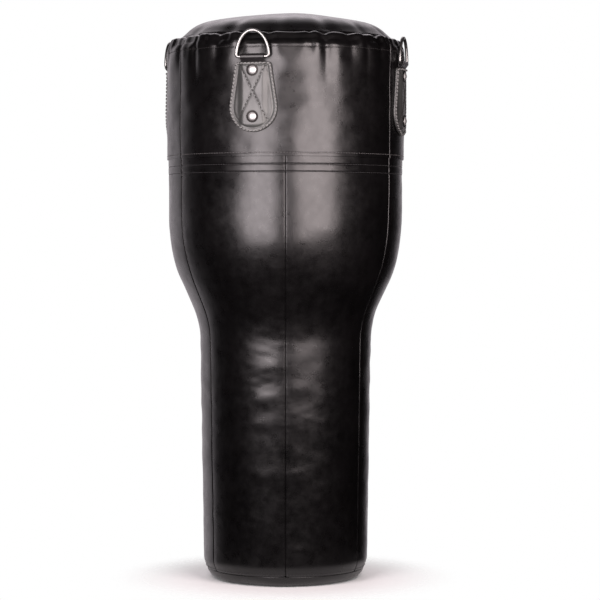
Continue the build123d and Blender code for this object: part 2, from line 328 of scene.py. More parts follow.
def leather(name, dark, light, rough, grain, depth, crease_depth=0.0, coat=0.0):
    """Grained leather: pebbled cells, fine creases, uneven colour and sheen."""
    material, nodes, links, surface = new_material(name)
    where = place(nodes)
    patch = noise(nodes, links, where, 14.0, 4.0)
    links.new(ramp(nodes, links, patch, [(0.3, dark), (0.7, light)]), surface.inputs["Base Color"])
    shine = noise(nodes, links, where, 55.0, 5.0, 0.6)
    links.new(ramp(nodes, links, shine, [(0.3, rough[0]), (0.72, rough[1])]), surface.inputs["Roughness"])
    pebbles = bump(nodes, links, cells(nodes, links, where, grain), depth, 0.6)
    fine = bump(nodes, links, noise(nodes, links, where, grain * 2.2, 2.0), depth * 0.5, 0.5, pebbles)
    if crease_depth:
        creases = noise(nodes, links, where, grain * 0.055, 2.0, 0.4)
        fine = bump(nodes, links, creases, crease_depth, 0.7, fine)
    links.new(fine, surface.inputs["Normal"])
    surface.inputs["Coat Weight"].default_value = coat
    surface.inputs["Coat Roughness"].default_value = 0.32
    return material


def metal(name, dark, light, rough, scratch=900.0):
    material, nodes, links, surface = new_material(name)
    where = place(nodes)
    tone = noise(nodes, links, where, 60.0, 4.0)
    links.new(ramp(nodes, links, tone, [(0.35, dark), (0.7, light)]), surface.inputs["Base Color"])
    worn = noise(nodes, links, where, 320.0, 5.0, 0.65)
    links.new(ramp(nodes, links, worn, [(0.35, rough[0]), (0.7, rough[1])]), surface.inputs["Roughness"])
    surface.inputs["Metallic"].default_value = 1.0
    scratches = noise(nodes, links, where, scratch, 3.0)
    links.new(bump(nodes, links, scratches, 0.03 * MM, 0.35), surface.inputs["Normal"])
    return material


def woven(name, dark, light, pitch, depth):
    """Plain weave drawn by two crossed sets of bands."""
    material, nodes, links, surface = new_material(name)
    where = place(nodes)
    sets = []
    for direction in ("X", "Z"):
        bands = nodes.new("ShaderNodeTexWave")
        bands.bands_direction = direction
        bands.inputs["Scale"].default_value = 0.314 / pitch
        bands.inputs["Distortion"].default_value = 0.6
        links.new(where, bands.inputs["Vector"])
        sets.append(bands.outputs["Fac"])
    mix = nodes.new("ShaderNodeMath")
    mix.operation = "MULTIPLY"
    links.new(sets[0], mix.inputs[0])
    links.new(sets[1], mix.inputs[1])
    weave = mix.outputs[0]
    links.new(ramp(nodes, links, weave, [(0.1, dark), (0.7, light)]), surface.inputs["Base Color"])
    rough = noise(nodes, links, where, 400.0)
    links.new(ramp(nodes, links, rough, [(0.3, 0.8), (0.7, 0.95)]), surface.inputs["Roughness"])
    links.new(bump(nodes, links, weave, depth, 0.8), surface.inputs["Normal"])
    return material


def thread_material(name, dark, light):
    """Twisted thread: slanted strands along a fine wave."""
    material, nodes, links, surface = new_material(name)
    where = place(nodes)
    strands = nodes.new("ShaderNodeTexWave")
    strands.bands_direction = "DIAGONAL"
    strands.inputs["Scale"].default_value = 900.0
    strands.inputs["Distortion"].default_value = 1.5
    links.new(where, strands.inputs["Vector"])
    twist = strands.outputs["Fac"]
    links.new(ramp(nodes, links, twist, [(0.2, dark), (0.8, light)]), surface.inputs["Base Color"])
    worn = noise(nodes, links, where, 700.0)
    links.new(ramp(nodes, links, worn, [(0.3, 0.5), (0.7, 0.75)]), surface.inputs["Roughness"])
    links.new(bump(nodes, links, twist, 0.12 * MM, 0.6), surface.inputs["Normal"])
    return material


def foam_material(name, dark, light, grain):
    material, nodes, links, surface = new_material(name)
    where = place(nodes)
    holes = cells(nodes, links, where, grain, "F1")
    links.new(ramp(nodes, links, holes, [(0.05, dark), (0.5, light)]), surface.inputs["Base Color"])
    spots = noise(nodes, links, where, grain)
    links.new(ramp(nodes, links, spots, [(0.3, 0.85), (0.7, 1.0)]), surface.inputs["Roughness"])
    links.new(bump(nodes, links, holes, 0.6 * MM, 0.8), surface.inputs["Normal"])
    return material


BLACK_SKIN = leather(
    "black_skin", (0.0012, 0.0010, 0.0011), (0.0030, 0.0026, 0.0028), rough=(0.25, 0.37),
    grain=640.0, depth=0.07 * MM, crease_depth=0.6 * MM)
LOOP_LEATHER = leather(
    "loop_leather", (0.003, 0.0027, 0.003), (0.007, 0.006, 0.0065), rough=(0.32, 0.46),
    grain=700.0, depth=0.10 * MM)
TAB_SKIN = leather(
    "tab_leather", (0.022, 0.022, 0.022), (0.052, 0.055, 0.052), rough=(0.34, 0.48),
    grain=560.0, depth=0.12 * MM, crease_depth=0.3 * MM, coat=0.15)
RING_NICKEL = metal("ring_nickel", (0.22, 0.22, 0.215), (0.34, 0.345, 0.335), (0.30, 0.44))
RIVET_STEEL = metal("rivet_steel", (0.66, 0.66, 0.65), (0.86, 0.86, 0.85), (0.50, 0.62))
# The washers are real parts, but their colour is painted shade: a near-black copy of the rivet steel, for
# the dark ring round each rivet head.
WASHER_PAINTED_SHADE = metal("washer_steel", (0.012, 0.011, 0.011), (0.03, 0.028, 0.027), (0.45, 0.60))
WEBBING = woven("webbing", (0.012, 0.012, 0.012), (0.05, 0.05, 0.05), 1.6 * MM, 0.3 * MM)
CANVAS = woven("canvas", (0.42, 0.38, 0.29), (0.66, 0.62, 0.52), 1.1 * MM, 0.3 * MM)
FOAM = foam_material("foam", (0.30, 0.29, 0.25), (0.62, 0.61, 0.57), 420.0)
FILLING = foam_material("filling", (0.20, 0.19, 0.19), (0.50, 0.48, 0.46), 90.0)
CORD = woven("cord", (0.01, 0.01, 0.01), (0.06, 0.06, 0.06), 1.2 * MM, 0.4 * MM)
BLACK_THREAD = thread_material("black_thread", (0.012, 0.011, 0.012), (0.05, 0.048, 0.05))
GREY_THREAD = thread_material("grey_thread", (0.04, 0.038, 0.038), (0.12, 0.115, 0.115))
TAB_THREAD = thread_material("tab_thread", (0.07, 0.07, 0.07), (0.20, 0.20, 0.195))
DARK_THREAD = thread_material("dark_thread", (0.008, 0.007, 0.007), (0.025, 0.022, 0.022))


def dress_nodes():
    """Materials for the CAD nodes that stay as they are."""
    looks = {
        "dee_ring": RING_NICKEL,
        "rivets": RIVET_STEEL, "rivet_washers": WASHER_PAINTED_SHADE, "rivet_burrs": RIVET_STEEL,
        "base_pad": FOAM, "top_pad": FOAM, "foam_sleeve_lower": FOAM, "foam_sleeve_neck": FOAM,
        "foam_sleeve_upper": FOAM, "canvas_liner": CANVAS, "textile_fill": FILLING, "collar_belt": WEBBING,
        "lap_tape": WEBBING, "hem_drawcord": CORD,
    }
    for name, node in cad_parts.items():
        for ending, material in looks.items():
            if name.endswith(ending) and node.type == "MESH":
                node.data.materials.clear()
                node.data.materials.append(material)


# ================= sewn skin =================
LOWER = Profile(rounded_line(
    [(BASE_SEAM_RADIUS, BASE_SEAM_Z + 0.2 * MM), (BARREL_BASE_RADIUS, 36.0 * MM),
     (BARREL_NECK_RADIUS, NECK_Z), (GORE_RADIUS, SHOULDER_Z), (GORE_RADIUS, LAP_TOP_Z)],
    [25.0 * MM, 160.0 * MM, 320.0 * MM]))
HEM_LEG = UPPER_RADIUS - 2 * SKIN - 0.1 * MM
UPPER = Profile(rounded_line(
    [(UPPER_RADIUS, LAP_BOTTOM_Z), (UPPER_RADIUS, HEM_BEND_Z), (HEM_CREST_RADIUS, HEM_TOP_Z),
     (MOUTH_RADIUS, HEM_TOP_Z), (HEM_TURN_RADIUS, HEM_TURN_Z), (HEM_LEG, HEM_STITCH_Z),
     (HEM_LEG, HEM_STITCH_Z - 7.0 * MM)],
    [30.0 * MM, 8.0 * MM, 6.0 * MM, 4.0 * MM, 6.0 * MM]))


def relax_lower_skin(columns=200, rows=130, frames=18):
    """Outward movement of the lower skin, on a grid of (bearing, length), from a cloth simulation.

    The skin is sewn down along its seams, its base and the band, is a little too long for its shape
    and is pressed out by the filling, so it settles into the lumps and puckers of a stuffed bag.
    """
    bearings = SEAM_BEARING + 360.0 * np.arange(columns) / columns
    s = np.linspace(0.0, LOWER.length, rows)
    height = LOWER.at(s)[:, 1]
    uneven = 0.6 * MM * ripple(bearings[:, None], height[None, :], 71, (3, 9), (60, 150))
    smooth = turned(LOWER, bearings, s, np.zeros((columns, rows)))
    start = turned(LOWER, bearings, s, uneven)
    skin = make_mesh("relaxing", start.reshape(-1, 3), grid_faces(columns, rows, wrap_rows=True), BLACK_SKIN)
    sewn = away_from(bearings, LOWER_SEAMS)[:, None] < 180.0 / columns
    held = sewn | (height[None, :] < BASE_SEAM_Z + 8 * MM) | (height[None, :] > TAPE_ROWS_Z[0] - 7 * MM)
    pins = skin.vertex_groups.new(name="held")
    pins.add([int(i) for i in np.nonzero(held.reshape(-1))[0]], 1.0, "REPLACE")

    cloth = skin.modifiers.new("cloth", "CLOTH")
    cloth.collision_settings.use_collision = False
    settings = cloth.settings
    settings.quality = 4
    settings.mass = 0.3
    settings.tension_stiffness = 40
    settings.compression_stiffness = 40
    settings.shear_stiffness = 15
    settings.bending_stiffness = 1.0
    settings.air_damping = 3.0
    settings.shrink_min = -0.004      # the skin is 0.4 percent too long
    settings.use_pressure = True
    settings.uniform_pressure_force = 1.0
    settings.vertex_group_mass = "held"
    settings.effector_weights.gravity = 0.0
    for number in range(1, frames + 1):
        bpy.context.scene.frame_set(number)
    settled = skin.evaluated_get(bpy.context.evaluated_depsgraph_get()).data
    places = np.empty(len(settled.vertices) * 3)
    settled.vertices.foreach_get("co", places)
    moved = places.reshape(columns, rows, 3) - smooth
    outward = turned(LOWER, bearings, s, np.full((columns, rows), 1.0)) - smooth
    bpy.data.objects.remove(skin)
    bpy.context.scene.frame_set(1)
    return np.sum(moved * outward, axis=-1)


def spline_weights(t):
    """Cubic B-spline weights of the four grid lines round a place."""
    return np.stack([(1 - t) ** 3, 3 * t**3 - 6 * t**2 + 4, -3 * t**3 + 3 * t**2 + 3 * t + 1, t**3]) / 6


def relaxed_lift(bearing, height):
    """Smooth reading of the simulated movement at any bearing and height of the lower skin."""
    columns, rows = RELAXED.shape
    length = np.interp(height, LOWER.points[:, 1], LOWER.length_at)
    column = np.asarray((bearing - SEAM_BEARING) % 360.0 * columns / 360.0)
    row = np.asarray(length / LOWER.length * (rows - 1))
    left, below = np.floor(column).astype(int), np.floor(row).astype(int)
    across, up = spline_weights(column - left), spline_weights(row - below)
    total = 0.0
    for i in range(4):
        for j in range(4):
            value = RELAXED[(left + i - 1) % columns, np.clip(below + j - 1, 0, rows - 1)]
            total = total + across[i] * up[j] * value
    return total


RELAXED = relax_lower_skin()


def seam_dip(bearing, radius, seams):
    """Groove where the skin rolls in at a seam."""
    gap = np.radians(away_from(bearing, seams)) * radius
    return -1.4 * MM * bell(gap, 1.1 * MM) - 0.3 * MM * bell(gap, 8.0 * MM)


def seam_puckers(bearing, radius, height, seams, seed):
    """Small puckers drawn up beside a seam, one every other stitch or so."""
    gap = np.radians(away_from(bearing, seams)) * radius
    uneven = 2.0 * ripple(bearing, height, seed, (0, 2), (10, 40), 8)
    beat = np.sin(2 * math.pi * height / (11.0 * MM) + uneven)
    return 0.22 * MM * beat * np.exp(-gap / (7.0 * MM)) * (1 - bell(gap, 1.6 * MM))


def roll_list():
    """(bearing, height, half width in degrees, half height, rise) of the rolls the filling settles into."""
    rng = np.random.default_rng(19)
    beside_front_seam = {
        1.0: [(470.0, 15.0, 0.6), (409.0, 15.0, 1.3), (350.0, 14.0, 1.4),
              (302.0, 14.0, 1.2), (208.0, 15.0, 1.2)],
        23.0: [(474.0, 13.0, 1.1), (430.0, 16.0, 0.5), (366.0, 13.0, 1.0),
               (208.0, 15.0, 1.0), (70.0, 10.0, 2.0)],
    }
    half_width = {1.0: 11.0, 23.0: 8.0}
    rolls = []
    for bearing, column in beside_front_seam.items():
        rolls += [(bearing, z * MM, half_width[bearing], tall * MM, rise * MM) for z, tall, rise in column]
    for seam in LOWER_SEAMS[1:5]:
        height = rng.uniform(215, 245)
        while height < 440:
            at = seam + 30.0 + rng.uniform(-9, 9)
            rolls.append((at, height * MM, rng.uniform(8, 14), 14 * MM, rng.uniform(0.4, 1.2) * MM))
            height += rng.uniform(44, 60)
    return rolls


ROLLS = roll_list()


def settled_rolls(bearing, height):
    """Shallow rolls across the barrel, each with a slight hollow above and below it."""
    total = 0.0
    for at, middle, width, tall, rise in ROLLS:
        across = bell(degrees_past(bearing, at), width)
        section = bell(height - middle, tall) - 0.5 * bell(height - middle, 2 * tall)
        total = total + rise * across * section
    return total


def lower_lift(bearing, height, radius):
    """How far the stuffed lower skin stands off its smooth profile."""
    barrel = 1 - smoothstep(height, NECK_Z - 0.02, NECK_Z + 0.09)
    drum = smoothstep(height, NECK_Z + 0.06, SHOULDER_Z + 0.02)
    patchy = smoothstep(ripple(bearing, height, 4, (1, 5), (10, 30), 24), -0.9, 1.2)
    lumps = (0.50 - 0.34 * barrel) * MM * ripple(bearing, height, 3, (2, 7), (15, 60))
    lumps = lumps + 0.06 * MM * barrel * patchy * ripple(bearing, height, 5, (2, 6), (95, 160))
    lumps = lumps + settled_rolls(bearing, height) * barrel
    lumps = lumps + 0.22 * MM * drum * ripple(bearing, height, 8, (4, 10), (30, 80))
    lumps = lumps + (0.10 + 0.14 * barrel * patchy) * relaxed_lift(bearing, height)
    creases = 0.06 * MM * patchy * ripple(bearing, height, 9, (8, 20), (200, 420), 60)
    rows = sum(bell(height - z, 1.5 * MM) for z in TAPE_ROWS_Z)
    band = smoothstep(height, TAPE_ROWS_Z[0] - 4 * MM, TAPE_ROWS_Z[0] + 2 * MM)
    calm = 1 - 0.75 * band
    base = smoothstep(height, BASE_SEAM_Z, BASE_SEAM_Z + 0.03)
    dips = seam_dip(bearing, radius, LOWER_SEAMS) + seam_puckers(bearing, radius, height, LOWER_SEAMS, 21)
    stuffed = np.maximum((lumps + creases) * calm * base, -FOAM_GAP)
    return stuffed + dips - 0.9 * MM * rows + 0.5 * MM * band


def pleat_list():
    """(bearing, depth, reach down, half width) of each gather in the hem."""
    rng = np.random.default_rng(11)
    pleats = [
        (34.5, 4.2 * MM, 56.0 * MM, 8.0 * MM),
        (27.0, 2.2 * MM, 24.0 * MM, 4.5 * MM),
        (7.0, 2.6 * MM, 40.0 * MM, 6.5 * MM),
        (-6.5, 2.4 * MM, 30.0 * MM, 5.5 * MM),
        (-19.0, 3.0 * MM, 44.0 * MM, 7.5 * MM),
    ]
    bearing, last_bearing = 47.6, 332.0
    while bearing < last_bearing:
        depth, reach, width = rng.uniform(1.7, 3.6), rng.uniform(20, 55), rng.uniform(4.5, 8.5)
        pleats.append((bearing, depth * MM, reach * MM, width * MM))
        bearing += rng.uniform(9.0, 15.5)
    return pleats


PLEATS = pleat_list()


def gathers(bearing, radius, height, on_top):
    """Folds where the drawn-up hem is gathered, each fading out down the drum."""
    total = 0.0
    for at, depth, reach, width in PLEATS:
        gap = np.radians(degrees_past(bearing, at)) * radius
        below = np.clip(HEM_STITCH_Z + 8 * MM - height, 0.0, 1.0)
        fade = np.where(on_top, 1.0, bell(below, reach))
        spread = width * (1.0 + 0.6 * below / reach)
        total = total - depth * fade * np.exp(-np.abs(gap / spread) ** 1.4)
        total = total + 0.42 * depth * fade * bell(np.abs(gap) - 2.2 * spread, 1.5 * spread)
    return total


def hem_lean(bearing, s, hem):
    """The tunnel leans in from its stitching, less where it bulges between two gathers."""
    bulging = smoothstep(ripple(bearing, 0.0, 37, (9, 24), (0, 1), 24), 0.1, 1.3)
    climbed = np.clip(s - hem - 2 * MM, 0.0, 13 * MM) * (1 - smoothstep(s, hem + 24 * MM, hem + 40 * MM))
    return -0.36 * climbed * (1 - 0.95 * bulging)


def upper_lift(bearing, s, height, radius):
    """How far the upper skin stands off its smooth profile, hem and gathers included."""
    hem = UPPER.length_to(HEM_STITCH_Z)
    on_top = s > hem + 8 * MM
    folds = gathers(bearing, radius, height, on_top)
    free = 1 - smoothstep(s, hem - 12 * MM, hem)
    slack = 0.7 * MM * ripple(bearing, height, 31, (3, 11), (4, 26)) * free
    gap = away_from(bearing, SIDES.values())
    behind_tab = (height < BAR_Z) * (height > TAIL_BOTTOM_Z - 20 * MM)
    beside_tab = 1 - (1 - smoothstep(gap, 10.0, 17.0)) * behind_tab
    full = 1.8 * MM * bell(height - 0.875, 0.055) * smoothstep(gap, 13.0, 28.0)
    gathered = 0.9 * MM * bell(height - 0.972, 0.024) * beside_tab * (1 - on_top)
    hollows = 0.35 * MM * ripple(bearing, height, 35, (9, 22), (14, 60)) * free
    creases = 0.12 * MM * ripple(bearing, height, 33, (8, 24), (40, 160), 60)
    tunnel = 0.7 * MM * bell(s - hem - 8 * MM, 7 * MM) + hem_lean(bearing, s, hem)
    stitch = -0.6 * MM * bell(s - hem, 2.0 * MM)
    fold = 0.3 * MM * bell(height - LAP_BOTTOM_Z - 3 * MM, 4 * MM) * (s < hem)
    row = -0.5 * MM * bell(height - LAP_ROW_Z, 1.4 * MM) * (s < hem)
    inside = smoothstep(s, hem + 40 * MM, hem + 46 * MM)
    dips = seam_dip(bearing, radius, UPPER_SEAMS) + seam_puckers(bearing, radius, height, UPPER_SEAMS, 41)
    loose = (folds + slack + hollows + creases + tunnel + full + gathered) * (1 - inside)
    past_belt = smoothstep(height, HEM_STITCH_Z - 6 * MM, HEM_STITCH_Z + 6 * MM)
    deepest = -BELT_GAP - (HEM_GAP - BELT_GAP) * past_belt
    return np.maximum(loose + stitch + fold + row + dips, np.where(inside > 0, -0.2 * MM, deepest))


def skin_panel(name, node, profile, lift, start, end, marks, seams):
    bearings = graded(start, end, 0.9, 0.05, seams, 4.0)
    s = graded(0.0, profile.length, 4.0 * MM, 0.6 * MM, marks, 14.0 * MM)
    section = profile.at(s)
    out = lift(bearings[:, None], s[None, :], section[None, :, 1], section[None, :, 0])
    points = turned(profile, bearings, s, out)
    faces = grid_faces(len(bearings), len(s))
    panel = make_mesh(name, points.reshape(-1, 3), faces, BLACK_SKIN)
    thicken(panel, SKIN - 0.3 * MM)
    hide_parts(node)
    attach(panel, BAG)
    return panel


def build_lower_skin():
    marks = [LOWER.length_to(z) for z in TAPE_ROWS_Z] + [LOWER.length_to(LAP_BOTTOM_Z)]
    for i, seam in enumerate(LOWER_SEAMS):
        skin_panel(
            f"lower_skin_{i + 1}", f"lower_panel_{i + 1}", LOWER,
            lambda bearing, s, height, radius: lower_lift(bearing, height, radius),
            seam, seam + 60.0, marks, [seam, seam + 60.0])


def build_upper_skin():
    hem = UPPER.length_to(HEM_STITCH_Z)
    marks = [0.0, UPPER.length_to(LAP_ROW_Z), hem, hem + 14 * MM, hem + 27 * MM]
    for i, seam in enumerate(UPPER_SEAMS):
        skin_panel(
            f"upper_skin_{i + 1}", f"upper_panel_{i + 1}", UPPER, upper_lift,
            seam, seam + 120.0, marks, [seam, seam + 120.0])


def disc_mesh(name, profile, lift, s, material):
    """Full turn of a profile that starts on the axis."""
    bearings = np.arange(0.0, 360.0, 1.5)
    out = lift(bearings[:, None], profile.at(s)[None, :, 0])
    points = turned(profile, bearings, s, out)
    rows, columns = points.shape[:2]
    faces = grid_faces(rows, columns, wrap_rows=True)
    centre = rows * columns
    middle = [0.0, 0.0, float(points[:, 0, 2].mean())]
    for i in range(rows):
        faces.append((centre, ((i + 1) % rows) * columns, i * columns))
    return make_mesh(name, list(points.reshape(-1, 3)) + [middle], faces, material)


def cover_profile():
    """Half section of the domed cover, from the centre out and down behind the hem."""
    crown_end = math.radians(CROWN_SWEEP)
    brow_end = math.radians(CROWN_SWEEP + BROW_SWEEP)
    crown = [(CROWN_RADIUS * math.sin(a), TOTAL_HEIGHT - CROWN_RADIUS * (1 - math.cos(a)))
             for a in np.linspace(0.0, crown_end, 40)]
    brow = [(crown[-1][0] + BROW_RADIUS * (math.sin(a) - math.sin(crown_end)),
             crown[-1][1] - BROW_RADIUS * (math.cos(crown_end) - math.cos(a)))
            for a in np.linspace(crown_end, brow_end, 14)[1:]]
    rim = MOUTH_RADIUS - 0.6 * MM
    corner = (rim, brow[-1][1] - (rim - brow[-1][0]) * math.tan(brow_end))
    skirt = rounded_line([brow[-1], corner, (rim, 986.0 * MM)], [6.0 * MM])
    return Profile(np.array(crown + brow + [tuple(p) for p in skirt[1:]]))


def cover_lift(bearing, radius):
    """The cover is plump behind its brow and drawn into folds towards the hem."""
    rim_part = smoothstep(radius, 0.10, 0.185)
    soft = 0.9 * MM * ripple(bearing, radius, 51, (1, 4), (10, 35), 24) * smoothstep(radius, 0.0, 0.09)
    drawn = 0.0
    for at, depth, _, width in PLEATS[::2]:
        gap = np.radians(degrees_past(bearing, at + 4.0)) * radius
        drawn = drawn - 0.8 * depth * bell(gap, 1.7 * width)
    plump = 2.4 * MM * bell(radius - 0.178, 0.015)
    return -np.maximum(soft + plump + (drawn + 0.9 * MM) * rim_part, -1.4 * MM)


def build_cover():
    profile = cover_profile()
    s = graded(2.0 * MM, profile.length, 5.0 * MM, 2.5 * MM, [profile.length - 40 * MM], 60 * MM)
    cover = disc_mesh("top_cover_skin", profile, cover_lift, s, BLACK_SKIN)
    cover.data.flip_normals()
    thicken(cover, SKIN - 0.3 * MM)
    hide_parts("top_cover")
    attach(cover, BAG)


def base_lift(bearing, radius):
    """The base is a little uneven just inside its edge."""
    edge = smoothstep(radius, 0.120, 0.140) * (1 - smoothstep(radius, 0.143, 0.149))
    return 0.5 * MM * edge * ripple(bearing, radius, 61, (5, 14), (20, 60), 24)


def build_base():
    edge = [(0.0, 0.0), (BASE_FLAT_RADIUS, 0.0), (BASE_SEAM_RADIUS, BASE_SEAM_Z)]
    profile = Profile(rounded_line(edge, [26.0 * MM]))
    s = graded(2.0 * MM, profile.length, 5.0 * MM, 1.2 * MM, [profile.length], 30 * MM)
    base = disc_mesh("base_skin", profile, base_lift, s, BLACK_SKIN)
    thicken(base, 1.9 * MM)
    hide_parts("base_disc")
    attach(base, BAG)


def stitch_row(name, height, radius_at, length, gap, thread, material):
    """Row of stitches round the bag at one height."""
    pitch = length + gap
    around = 2 * math.pi * float(radius_at(np.array(0.0)))
    count = int(around / pitch)
    along = np.linspace(-1.0, 1.0, 7)
    half = 180.0 * length / around
    bearings = 360.0 * np.arange(count)[:, None] / count + half * along[None, :]
    radius = radius_at(bearings) + thread * (0.75 - 1.5 * along[None, :] ** 4)
    angle = np.radians(bearings)
    lines = np.stack([radius * np.sin(angle), -radius * np.cos(angle), height + 0 * angle], axis=-1)
    row = threads(name, lines, thread, material, 6)
    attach(row, BAG)


def build_body_stitching():
    def lower_radius(height):
        s = LOWER.length_to(height)
        place_r = float(LOWER.at(s)[0])
        return lambda bearing: place_r + lower_lift(bearing, height, place_r)

    def upper_radius(height):
        s = UPPER.length_to(height)
        place_r = float(UPPER.at(s)[0])
        return lambda bearing: place_r + upper_lift(bearing, s, height, place_r)

    base_z = BASE_SEAM_Z + 4.5 * MM
    rows = [(f"tape_stitches_{i + 1}", z, lower_radius, 4.2, 1.2, 0.42, BLACK_THREAD)
            for i, z in enumerate(TAPE_ROWS_Z)]
    rows += [
        ("lap_stitches", LAP_ROW_Z, upper_radius, 4.2, 1.4, 0.5, GREY_THREAD),
        ("hem_stitches", HEM_STITCH_Z, upper_radius, 4.0, 1.4, 0.38, DARK_THREAD),
        ("base_stitches", base_z, lower_radius, 4.0, 1.4, 0.42, BLACK_THREAD),
    ]
    for name, z, radius_at, length, gap, thread, material in rows:
        stitch_row(name, z, radius_at(z), length * MM, gap * MM, thread * MM, material)


# ================= hangers =================
def tab_outline(count=280):
    """Teardrop edge of the tab, (across, up), walked from the top left and round the bottom."""
    lean = math.atan2(TAB_ROUND_RADIUS - TAB_TOP_HALF_WIDTH, TAB_TOP_Z - TAB_ROUND_Z)
    arc = [(-TAB_ROUND_RADIUS * math.cos(a), TAB_ROUND_Z - TAB_ROUND_RADIUS * math.sin(a))
           for a in np.linspace(-lean, math.pi + lean, 90)]
    top = rounded_line(
        [arc[-1], (TAB_TOP_HALF_WIDTH, TAB_TOP_Z), (-TAB_TOP_HALF_WIDTH, TAB_TOP_Z), arc[0]],
        [TAB_CORNER, TAB_CORNER])
    edge = np.array(arc + [tuple(p) for p in top[1:-1]])
    closed = np.vstack([edge, edge[:1]])
    length = np.concatenate([[0.0], np.cumsum(np.linalg.norm(np.diff(closed, axis=0), axis=1))])
    s = np.linspace(0.0, length[-1], count, endpoint=False)
    return np.stack([np.interp(s, length, closed[:, i]) for i in (0, 1)], axis=-1), length[-1]


def line_gap(x, z, a, b):
    """Distance from points to a straight stitch line."""
    way = np.array(b) - np.array(a)
    size = np.linalg.norm(way)
    way = way / size
    along = (x - a[0]) * way[0] + (z - a[1]) * way[1]
    inside = np.clip(along, 0.0, size)
    return np.hypot(x - a[0] - inside * way[0], z - a[1] - inside * way[1])


CROSS_LINES = [
    ((-24.0 * MM, 956.0 * MM), (27.0 * MM, 857.0 * MM)),
    ((24.0 * MM, 956.0 * MM), (-27.0 * MM, 857.0 * MM)),
]


def tab_face(x, z, inward):
    """Distance of the tab's outer face from the bag's axis plane, at a distance in from its edge."""
    drum = np.sqrt((UPPER_RADIUS + 0.3 * MM) ** 2 - x**2)
    strap = 1 - smoothstep(np.abs(x), LOOP_HALF_WIDTH - 5.5 * MM, LOOP_HALF_WIDTH + 7 * MM)
    strap = strap * smoothstep(z, TAIL_BOTTOM_Z - 11 * MM, TAIL_BOTTOM_Z + 1 * MM)
    under = drum + (TAIL_FRONT + 0.1 * MM - drum) * strap
    round_edge = np.clip(inward / (2.0 * MM), 0.0, 1.0)
    leather_depth = TAB_LEATHER * np.sqrt(1 - (1 - round_edge) ** 2)
    rope = 0.8 * MM * bell(inward - 3.2 * MM, 2.4 * MM)
    channel = -1.2 * MM * bell(inward - 7.8 * MM, 1.5 * MM)
    crossing = sum(bell(line_gap(x, z, a, b), 2.2 * MM) for a, b in CROSS_LINES)
    return under + leather_depth + rope + channel - 1.0 * MM * np.clip(crossing, 0, 1)


def tab_points(edge):
    """Rings of (across, up, inward) from the edge in to the tab's middle line."""
    spine_z = np.clip(edge[:, 1], TAB_ROUND_Z - 4 * MM, TAB_TOP_Z - 24 * MM)
    spine = np.stack([np.zeros(len(edge)), spine_z], axis=-1)
    reach = np.linalg.norm(edge - spine, axis=1)
    over_border = [0.0, 0.35, 0.8, 1.4, 2.2, 3.2, 4.2, 5.2, 6.2, 7.0, 7.8, 8.6, 9.6]
    rings = [np.minimum(d * MM, 0.96 * reach) for d in over_border]
    border = rings[-1]
    for part in np.linspace(0.0, 1.0, 20)[1:]:
        rings.append(border + (0.985 * reach - border) * part)
    result = []
    for inward in rings:
        share = (inward / reach)[:, None]
        result.append(np.column_stack([edge + (spine - edge) * share, inward]))
    return result


def spun(points, bearing):
    """Front-hanger points turned round the bag to another side."""
    a = math.radians(bearing)
    p = np.array(points, float)
    return np.column_stack([p[:, 0] * math.cos(a) - p[:, 1] * math.sin(a),
                            p[:, 0] * math.sin(a) + p[:, 1] * math.cos(a), p[:, 2]])


def build_tab(side, bearing):
    edge, _ = tab_outline()
    rings = tab_points(edge)
    count = len(edge)
    points = []
    for ring in rings:
        out = tab_face(ring[:, 0], ring[:, 1], ring[:, 2])
        points.extend(np.column_stack([ring[:, 0], -out, ring[:, 1]]))
    faces = grid_faces(len(rings), count, wrap_columns=True)
    last = (len(rings) - 1) * count
    faces.append(tuple(last + k for k in reversed(range(count))))
    tab = make_mesh(f"{side}_tab", spun(points, bearing), faces, TAB_SKIN)
    tab.data.flip_normals()
    thicken(tab, TAB_LEATHER - 0.6 * MM)
    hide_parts(f"{side}_hanger_tab")
    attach(tab, BAG)


def on_tab(across, up, inward, raised):
    """Front-hanger point on the tab's outer face, raised off it."""
    out = float(tab_face(np.array(across), np.array(up), np.array(inward)))
    return across, -(out + raised), up


def build_tab_stitching(side, bearing):
    """Thick running stitches along the tab's edge, and the cross sewn through its middle."""
    edge, length = tab_outline()
    count = int(length / (6.9 * MM))
    border = []
    for i in range(count):
        line = []
        for t in np.linspace(-1.0, 1.0, 9):
            k = (i + 0.5 + 0.39 * t) / count * len(edge)
            here, ahead = edge[int(k) % len(edge)], edge[(int(k) + 3) % len(edge)]
            way = (ahead - here) / np.linalg.norm(ahead - here)
            inward = (2.3 + 0.7 * t) * MM
            spot = here + way * (k % 1.0) * length / len(edge) + np.array([-way[1], way[0]]) * inward
            line.append(on_tab(spot[0], spot[1], inward, 0.55 * MM - 1.0 * MM * t**4))
        border.append(spun(line, bearing))
    lacing = threads(f"{side}_tab_lacing", border, 1.5 * MM, TAB_THREAD)
    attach(lacing, BAG)

    cross = []
    for a, b in CROSS_LINES:
        a, b = np.array(a), np.array(b)
        count = int(np.linalg.norm(b - a) / (6.6 * MM))
        for i in range(count):
            line = []
            for t in np.linspace(-1.0, 1.0, 6):
                spot = a + (b - a) * ((i + 0.5 + 0.36 * t) / count)
                line.append(on_tab(spot[0], spot[1], 20 * MM, 0.25 * MM - 0.7 * MM * t**4))
            cross.append(spun(line, bearing))
    stitching = threads(f"{side}_tab_cross", cross, 0.85 * MM, DARK_THREAD)
    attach(stitching, BAG)


